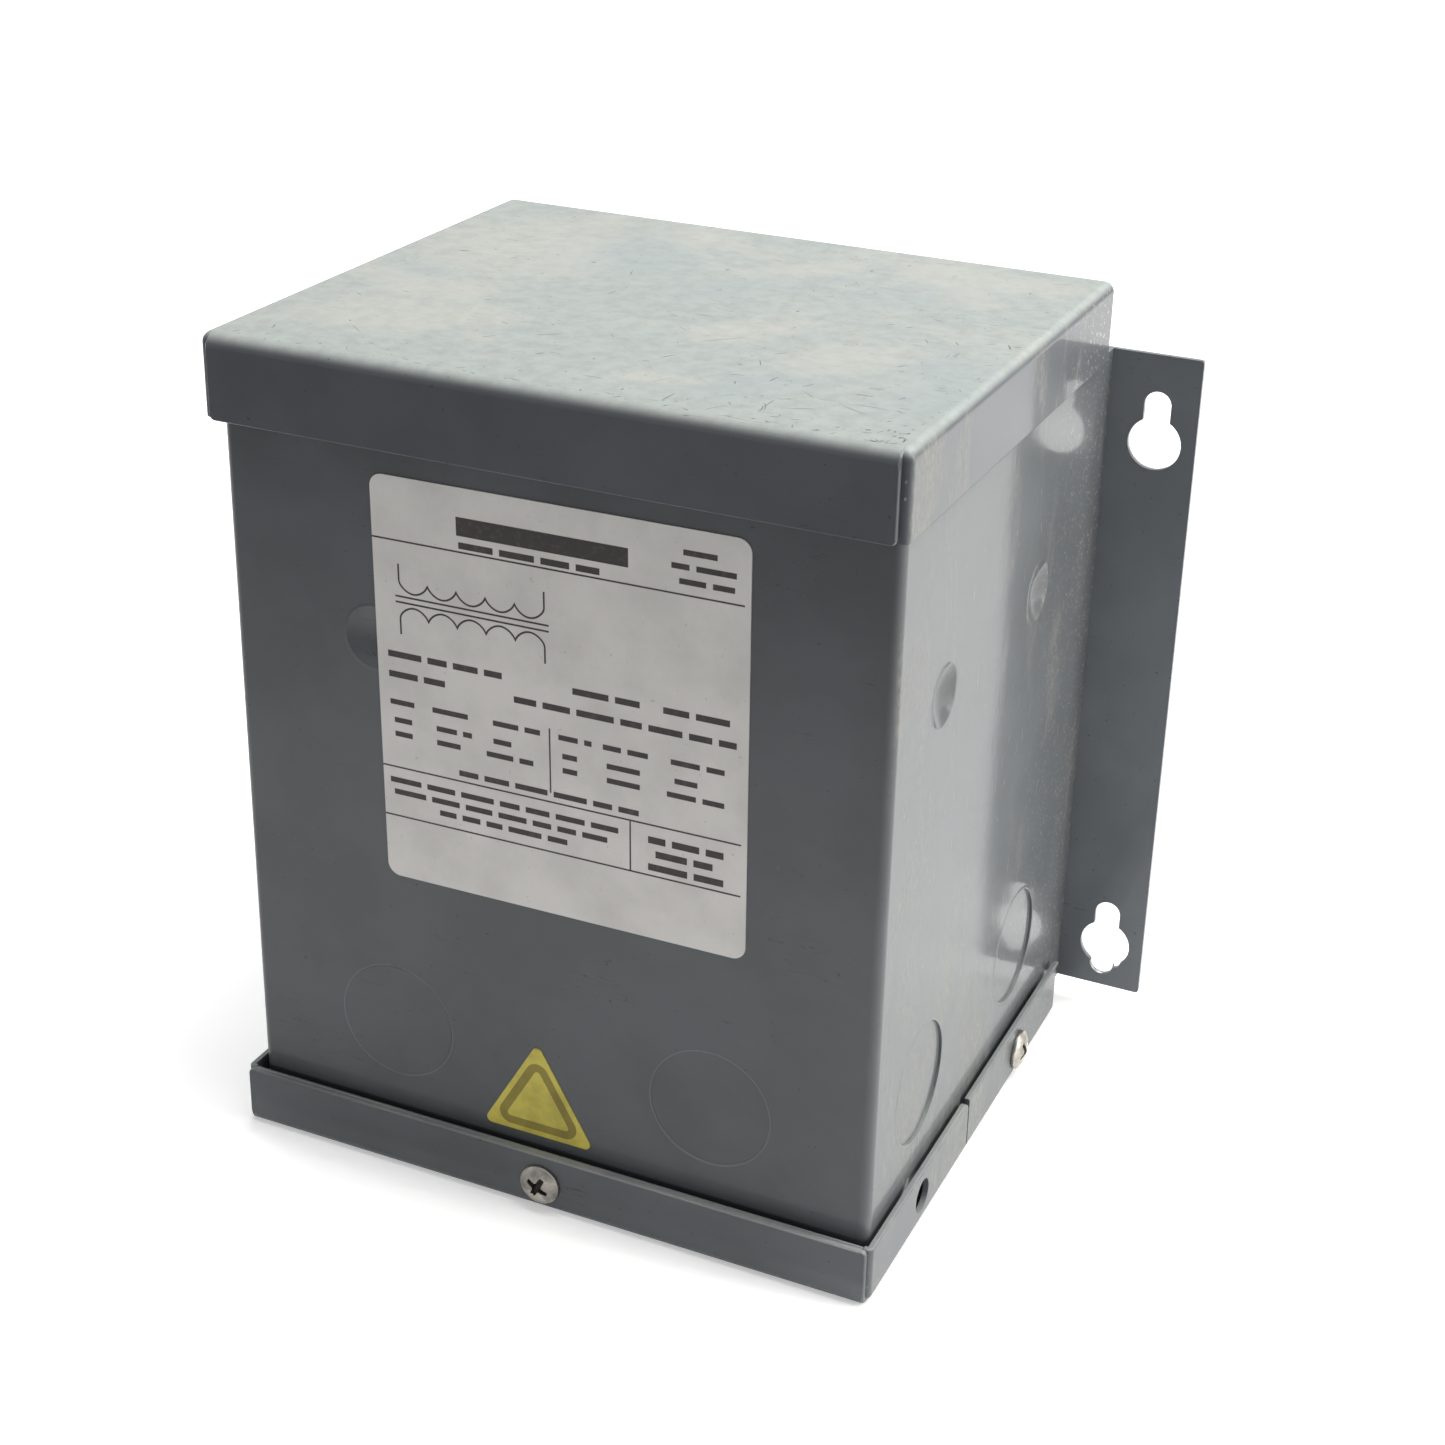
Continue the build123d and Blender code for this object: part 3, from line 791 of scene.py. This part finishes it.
def strips(centres, headings, lengths, widths, bends):
    """Many flat tapering strokes at once on the plane of two coordinates.

    Stroke i runs through centre + heading * s with s from minus to plus half its length, curves aside by
    bend * (1 less the squared share of s), and its half width falls off as the root of that same curve.
    """
    stations = 7
    share = np.linspace(-1.0, 1.0, stations)
    swell = 1 - share ** 2
    along = np.stack([np.cos(headings), np.sin(headings)], 1)
    across = np.stack([-along[:, 1], along[:, 0]], 1)
    spine = centres[:, None] + along[:, None] * (share * lengths[:, None] / 2)[:, :, None]
    spine = spine + across[:, None] * (bends[:, None] * swell)[:, :, None]
    half = (widths[:, None] / 2 * np.sqrt(swell + 0.02))[:, :, None] * across[:, None]
    flat = np.stack([spine - half, spine + half], 2).reshape(-1, 2)
    i, j = np.meshgrid(np.arange(len(centres)), np.arange(stations - 1), indexing="ij")
    first = (i * stations + j) * 2
    faces = np.stack([first, first + 2, first + 3, first + 1], -1).reshape(-1, 4)
    return flat, faces


def single(*rows):
    """Straight strokes one by one, each by its middle's two coordinates, heading, length and width."""
    x, y, heading, length, width = np.array(rows).T
    return strips(np.stack([x, y], 1), heading, length, width, np.zeros(len(rows)))


def laid(pattern, plane, lift):
    """Puts a flat pattern of two coordinates on a plane, lifted off it along its normal."""
    flat, faces = pattern
    origin, right, up = (np.array(part, float) for part in plane)
    points = origin + flat[:, :1] * right + flat[:, 1:] * up + lift * np.cross(right, up)
    return points * MM, faces


TOP_PLANE = ((0, 0, TOP_Z), (1, 0, 0), (0, 1, 0))
FRONT_PLANE = ((0, FRONT_Y, 0), (1, 0, 0), (0, 0, 1))
SIDE_PLANE = ((SIDE_X, 0, 0), (0, 1, 0), (0, 0, 1))


def wear():
    """Scratches, ticks, specks and pinholes on the lid's top and the walls, scattered with a fixed seed."""
    rng = np.random.default_rng(11)
    half_w, front, back = LID_HALF - 3.5, COVER_Y + 3.5, COVER_BACK_Y - 3.0

    # Dark ticks on the top, thicker towards the front and the right
    count = 230
    near_front = rng.random(count) ** 2.8
    centres = np.stack([rng.uniform(-half_w, half_w, count), front + near_front * (back - front)], 1)
    at_right = rng.random(count) < 0.45
    centres[:, 0] = np.where(at_right, half_w - rng.random(count) ** 1.8 * 70.0, centres[:, 0])
    aligned = rng.random(count) < 0.6
    headings = np.where(aligned, rng.normal(0.55, 0.55, count), rng.uniform(0, math.pi, count))
    lengths = rng.gamma(1.3, 1.3, count) + 0.4
    widths = rng.uniform(0.1, 0.26, count)
    keep = np.abs(centres[:, 0]) + lengths / 2 < half_w + 1.0
    keep &= centres[:, 1] - lengths / 2 > front - 1.0
    bends = rng.normal(0, 0.12, keep.sum())
    ticks = strips(centres[keep], headings[keep], lengths[keep], widths[keep], bends)
    dark = [laid(ticks, TOP_PLANE, 0.012)]

    # Specks on the top
    spots = np.array([[-45.6, 12.4], [-31.6, 17.5], [-2.5, 26.6], [26.4, 41.5], [24.3, 3.9],
                      [-54.9, -47.1], [72.8, -61.9], [70.8, -59.2], [73.4, -59.0], [66.0, -60.5]])
    count = len(spots)
    specks = strips(spots, rng.uniform(0, 3, count), rng.uniform(0.6, 1.3, count),
                    rng.uniform(0.35, 0.6, count), np.zeros(count))
    dark.append(laid(specks, TOP_PLANE, 0.014))

    # Ticks on the front wall, clear of the nameplate and the sticker
    count = 46
    wall_x = rng.uniform(-72, 72, count)
    wall_z = rng.uniform(18, 170, count)
    on_plate = (np.abs(wall_x - 3) < 46) & (wall_z > 72) & (wall_z < 169)
    on_sticker = (np.abs(wall_x) < 19) & (wall_z < 44)
    centres = np.stack([wall_x, wall_z], 1)[~on_plate & ~on_sticker]
    count = len(centres)
    ticks = strips(centres, rng.normal(1.4, 0.5, count), rng.gamma(1.4, 0.7, count) + 0.2,
                   rng.uniform(0.05, 0.13, count), rng.normal(0, 0.1, count))
    dark.append(laid(ticks, FRONT_PLANE, 0.012))
    chips = single((52.6, 98.4, 0.5, 1.1, 0.8), (56.0, 61.0, 1.2, 0.9, 0.5), (-69.0, 120.0, 0.3, 0.8, 0.5))
    dark.append(laid(chips, FRONT_PLANE, 0.014))

    # Pinholes on the rounded front corner of the lid, two, and of the tray, one
    pinhole = single((0.0, 0.0, 1.5, 0.75, 0.5))
    for origin, right in (
        ((77.33, -69.85, 187.0), (0.74, 0.67, 0)),
        ((77.33, -69.85, 183.7), (0.74, 0.67, 0)),
        ((78.17, -69.5, 6.0), (0.51, 0.86, 0)),
    ):
        dark.append(laid(pinhole, (origin, right, (0, 0, 1)), 0.04))
    lay("worn_ticks", dark, GRIME)

    # Pale scratches on the top and on the right wall
    count = 90
    centres = np.stack([rng.uniform(-half_w, half_w, count), rng.uniform(front, back, count)], 1)
    lines = strips(centres, rng.normal(0.5, 0.5, count), rng.gamma(1.5, 1.0, count) + 0.4,
                   rng.uniform(0.05, 0.12, count), rng.normal(0, 0.2, count))
    pale = [laid(lines, TOP_PLANE, 0.01)]
    nicks = single((-62.0, 12.0, 0.2, 2.6, 0.5), (71.6, -61.6, 0.9, 1.2, 0.5))
    pale.append(laid(nicks, TOP_PLANE, 0.016))
    count = 130
    centres = np.stack([rng.uniform(-58, 52, count), 18 + rng.random(count) * 148], 1)
    lines = strips(centres, rng.normal(1.5, 0.25, count), rng.gamma(1.5, 1.4, count) + 0.4,
                   rng.uniform(0.05, 0.12, count), rng.normal(0, 0.15, count))
    pale.append(laid(lines, SIDE_PLANE, 0.01))
    lay("pale_scratches", pale, BARE)


def notch_rims():
    """Bright bare edge where the paint has gone from the lower keyholes' notches: a bead along each arc."""
    radius, shift, drop = 3.0, 0.4, 5.9
    parts = []
    f = np.linspace(math.pi * 0.98, math.pi * 2.02, 25)
    y = np.full(25, BACK_Y - SHEET / 2)
    for side in (-1.0, 1.0):
        x = side * (KEYHOLE_X - shift) + radius * np.cos(f)
        z = KEYHOLE_Z - drop + radius * np.sin(f)
        out = np.stack([-np.cos(f), np.zeros(25), -np.sin(f)], 1)
        parts.append(rim_bead(np.stack([x, y, z], 1) * MM, out, 0.1, 0.28))
    lay("bare_notch_rims", parts, BARE)


def nameplate_print():
    """Generic print on the nameplate: ruling, rows of short bars in place of words, and a coil symbol.

    Places are shares of the plate's width from its left edge and of its height from its top edge. The
    coil's humps are the absolute value of a sine to the power 0.6, drawn as a line of even width.
    """
    rng = np.random.default_rng(5)
    wide, tall, slant = 85.5, 93.1, math.radians(0.58)
    gap, line = 0.017, 0.0042
    boxes = []

    def rule(u0, v0, u1, v1):
        boxes.append((u0 * wide, -v0 * tall, u1 * wide, -v1 * tall))

    for v in (0.152, 0.715, 0.842):
        rule(0.0, v, 0.985, v - line)
    rule(0.69, 0.842, 0.69 + line, 0.715)
    rule(0.474, 0.69, 0.474 + line, 0.53)
    rule(0.235, 0.112, 0.69, 0.068)

    # Rows of bars: how far down, how tall, and the spans they fill
    for v, size, *spans in (
        (0.132, 0.020, 0.240, 0.640),
        (0.052, 0.017, 0.83, 0.95),
        (0.085, 0.017, 0.80, 0.97),
        (0.118, 0.017, 0.82, 0.96),
        (0.425, 0.020, 0.03, 0.38, 0.54, 0.72, 0.78, 0.97),
        (0.475, 0.020, 0.03, 0.22, 0.38, 0.97),
        (0.545, 0.017, 0.03, 0.11, 0.15, 0.28, 0.32, 0.45, 0.50, 0.59, 0.62, 0.74, 0.80, 0.94),
        (0.59, 0.017, 0.04, 0.09, 0.16, 0.26, 0.32, 0.37, 0.51, 0.55, 0.63, 0.72, 0.81, 0.87),
        (0.625, 0.017, 0.04, 0.09, 0.16, 0.26, 0.30, 0.43, 0.51, 0.55, 0.63, 0.72, 0.79, 0.94),
        (0.69, 0.018, 0.22, 0.74),
        (0.745, 0.018, 0.02, 0.66),
        (0.775, 0.018, 0.03, 0.63),
        (0.805, 0.018, 0.16, 0.52),
        (0.748, 0.022, 0.74, 0.94),
        (0.782, 0.022, 0.76, 0.93),
        (0.816, 0.022, 0.74, 0.94),
    ):
        for u0, u1 in zip(spans[::2], spans[1::2]):
            words = rng.uniform(0.045, 0.105, 24)
            ends = u0 + np.cumsum(words + gap)
            starts = ends - words - gap
            inside = starts < u1 - 0.02
            for a, b in zip(starts[inside], np.minimum(ends - gap, u1)[inside]):
                rule(a, v + size * 0.5, b, v - size * 0.28)
    edges = np.array(boxes)
    flat = edges[:, [0, 1, 2, 1, 2, 3, 0, 3]].reshape(-1, 2)
    parts = [(flat, np.arange(len(flat)).reshape(-1, 4))]

    def stroke(u, v):
        """A line of even width through the points (u, v), in millimetres."""
        width = 0.42
        path = np.stack([u, v], 1)
        along = np.gradient(path, axis=0)
        along /= np.linalg.norm(along, axis=1)[:, None]
        across = np.stack([-along[:, 1], along[:, 0]], 1) * width / 2
        pair = np.stack([path - across, path + across], 1).reshape(-1, 2)
        k = np.arange(len(path) - 1) * 2
        parts.append((pair, np.stack([k, k + 2, k + 3, k + 1], 1)))

    t = np.linspace(0.0, 1.0, 181)
    humps = np.abs(np.sin(t * math.pi * 5)) ** 0.6
    for v0, sign in ((-0.245, -1.0), (-0.335, 1.0)):
        stroke(6.0 + t * 34.0, v0 * tall + sign * 2.6 * humps)
    for v0 in (-0.283, -0.297):
        stroke(np.array([5.0, 41.0]), np.full(2, v0 * tall))
    for u in (6.0, 40.0):
        stroke(np.full(2, u), np.array([-0.205, -0.245]) * tall)
        stroke(np.full(2, u), np.array([-0.335, -0.375]) * tall)

    right = np.array([math.cos(slant), 0.0, math.sin(slant)])
    up = np.array([-math.sin(slant), 0.0, math.cos(slant)])
    middle = (plate_low + plate_high) / 2
    middle[1] = plate_low[1]
    plane = (middle - right * wide / 2 + up * tall / 2, right, up)
    placed = [laid(part, plane, 0.012) for part in parts]
    lay("nameplate_print", placed, INK)


def sticker_band():
    """A darker band inside the triangle's edge: two rounded triangles, one inside the other, joined up.

    Each is made of three arcs of 120 degrees about the same three middles, with two radii.
    """
    side, inset, band_start, band_end = 27.9, 4.1, 1.25, 3.3
    middle_x = (sticker_low[0] + sticker_high[0]) / 2
    centroid = (middle_x, sticker_low[1], sticker_low[2] + side / (2 * math.sqrt(3)))
    turn = np.linspace(-math.pi / 3, math.pi / 3, 11)
    corner_a = math.pi / 2 + np.array([0.0, 2.0, 4.0]) * math.pi / 3
    reach = side / math.sqrt(3) - 2 * inset
    middles = np.stack([np.cos(corner_a), np.sin(corner_a)], 1) * reach
    angles = corner_a[:, None] + turn[None]
    arc = np.stack([np.cos(angles), np.sin(angles)], -1)
    outer = (middles[:, None] + arc * (inset - band_start)).reshape(-1, 2)
    inner = (middles[:, None] + arc * (inset - band_end)).reshape(-1, 2)
    n = len(outer)
    k = np.arange(n)
    faces = np.stack([k, (k + 1) % n, (k + 1) % n + n, k + n], 1)
    band = laid((np.concatenate([outer, inner]), faces), (centroid, (1, 0, 0), (0, 0, 1)), 0.012)
    lay("sticker_band", [band], BAND)


FORWARD, RIGHT, LEFT = (0, -1, 0), (1, 0, 0), (-1, 0, 0)
SIDES = (("right", SIDE_X, RIGHT, 0.12), ("left", -SIDE_X, LEFT, 0.09))

rims()
knockout_rim("knockout_rim_front_left", (-38.7, FRONT_Y, 36.0), FORWARD, -0.15, 0.07, 0.03)
knockout_rim("knockout_rim_front_right", (38.7, FRONT_Y, 36.0), FORWARD, 0.2, 0.1, 0.03)
for side, x, outward, rear_burr in SIDES:
    knockout_rim(f"knockout_rim_{side}_front", (x, -36.65, 36.8), outward, 0.6, 0.09, 0.16)
    knockout_rim(f"knockout_rim_{side}_rear", (x, 27.35, 36.8), outward, 0.6, rear_burr, 0.16)
dimple("dimple_front", (-40.6, FRONT_Y, DIMPLE_Z), FORWARD, 1.2)
for side, x, outward, _ in SIDES:
    dimple(f"dimple_{side}_front", (x, -36.65, DIMPLE_Z), outward, 1.95)
    dimple(f"dimple_{side}_rear", (x, 24.35, DIMPLE_Z), outward, 1.95)
screw_head("screw_front_head", (0, COVER_Y, SCREW_Z), FORWARD, 0.5)
screw_head("screw_right_head", (TRAY_HALF, SCREW_Y, SCREW_Z), RIGHT, 1.1)
screw_head("screw_left_head", (-TRAY_HALF, SCREW_Y, SCREW_Z), LEFT, 0.3)
wear()
notch_rims()
nameplate_print()
sticker_band()


# Stage

WHITE = (1.0, 1.0, 1.0, 1.0)


def stage():
    """White floor under the object: a level sheet that reaches far past the picture.

    It glows where it is seen or mirrored, and the glow fades towards the object, so the shadow shows.
    """
    places = np.linspace(-30.0, 30.0, 25)
    x, y = np.meshgrid(places, places, indexing="ij")
    points = np.stack([x, y, np.zeros_like(x)], -1).reshape(-1, 3)
    mesh = mesh_from("floor", points, grid_faces(25, 25, False))
    floor = add("floor", mesh)
    material, tree, shader, where = start_material("floor_white")
    shader.inputs["Base Color"].default_value = (0.9, 0.9, 0.9, 1.0)
    shader.inputs["Roughness"].default_value = 0.9
    shader.inputs["Emission Color"].default_value = WHITE
    rays = put(tree, "LightPath").outputs
    mirrored = maths(tree, "MULTIPLY", rays["Is Glossy Ray"], 0.4)
    seen = maths(tree, "MAXIMUM", rays["Is Camera Ray"], mirrored)
    glow = remap(tree, vectors(tree, "LENGTH", where), 0.25, 1.6, 0.36, 1.0)
    feed(tree, shader.inputs["Emission Strength"], maths(tree, "MULTIPLY", seen, glow))
    mesh.materials.append(material)


def front_flag():
    """A dark cloth low in front, out of the picture, that shades the front wall, more so higher up."""
    far, near, lift = 12.0, -0.074, 0.002
    points = np.array([[-far, -far, lift], [far, -far, lift], [far, near, lift], [-far, near, lift]])
    mesh = mesh_from("front_flag", points, np.array([[0, 1, 2, 3]]))
    flag = add("front_flag", mesh)
    material, tree, shader, where = start_material("flag_cloth")
    close = remap(tree, axes(tree, where)["Y"], -0.5, -0.1)
    dark, pale = (0.05, 0.05, 0.05, 1.0), (0.8, 0.8, 0.8, 1.0)
    feed(tree, shader.inputs["Base Color"], blend(tree, close, dark, pale))
    shader.inputs["Roughness"].default_value = 0.9
    mesh.materials.append(material)
    flag.visible_camera = False
    flag.visible_shadow = False


def sky(level):
    """Even studio surround: a low level on the object, higher where mirrored, white where it is seen."""
    world = bpy.data.worlds.new("studio")
    bpy.context.scene.world = world
    world.use_nodes = True
    tree = world.node_tree
    background = tree.nodes["Background"]
    rays = put(tree, "LightPath").outputs
    mirrored = remap(tree, rays["Is Glossy Ray"], 0.0, 1.0, level, 0.6, smooth=False)
    seen = maths(tree, "MAXIMUM", rays["Is Camera Ray"], rays["Is Transmission Ray"])
    feed(tree, background.inputs["Strength"], maths(tree, "MAXIMUM", seen, mirrored))
    background.inputs["Color"].default_value = WHITE


def aim(holder, columns):
    """Sets an object's right, up and back directions and its place, from four arrays."""
    matrix = np.identity(4)
    matrix[:3] = np.stack([np.array(column, float) for column in columns], 1)
    holder.matrix_world = Matrix(matrix.tolist())


def softbox(name, place, target, size, power, tint=(1.0, 1.0, 1.0)):
    """A rectangular soft lamp at a place, turned to a target."""
    lamp = bpy.data.lights.new(name, "AREA")
    lamp.shape = "RECTANGLE"
    lamp.size, lamp.size_y = size
    lamp.energy = power
    lamp.color = tint
    holder = add(name, lamp)
    back = np.array(place) - np.array(target)
    back /= np.linalg.norm(back)
    right = np.cross([0.0, 1.0, 0.0] if abs(back[2]) > 0.9 else [0.0, 0.0, 1.0], back)
    right /= np.linalg.norm(right)
    aim(holder, (right, np.cross(back, right), back, place))
    return holder


stage()
front_flag()
sky(0.16)
softbox("top_light", (0.2, 0.35, 1.5), (0.0, 0.0, 0.1), (1.3, 1.3), 32.0)
softbox("right_light", (1.5, 0.35, 0.6), (0.0, 0.0, 0.1), (1.0, 1.2), 25.0, (1.0, 0.99, 0.93))
fill = softbox("front_fill", (-0.1, -0.7, 0.15), (0.0, 0.0, 0.02), (0.8, 0.16), 1.1)
fill.visible_glossy = False

# Camera, from the photograph's own perspective
camera_data = bpy.data.cameras.new("camera")
camera_data.sensor_width = 36.0
camera_data.sensor_fit = "HORIZONTAL"
camera_data.lens = 60.92
camera_data.shift_x = -0.01194
camera_data.shift_y = -0.04585
camera_data.clip_start = 0.01
camera = add("camera", camera_data)
camera_right = (0.91068, 0.41246, 0.02342)
camera_up = (-0.18991, 0.36761, 0.91039)
camera_back = (0.36688, -0.83351, 0.41310)
aim(camera, (camera_right, camera_up, camera_back, (0.218019, -0.462102, 0.340160)))
bpy.context.scene.camera = camera
bpy.context.scene.view_settings.view_transform = "Standard"
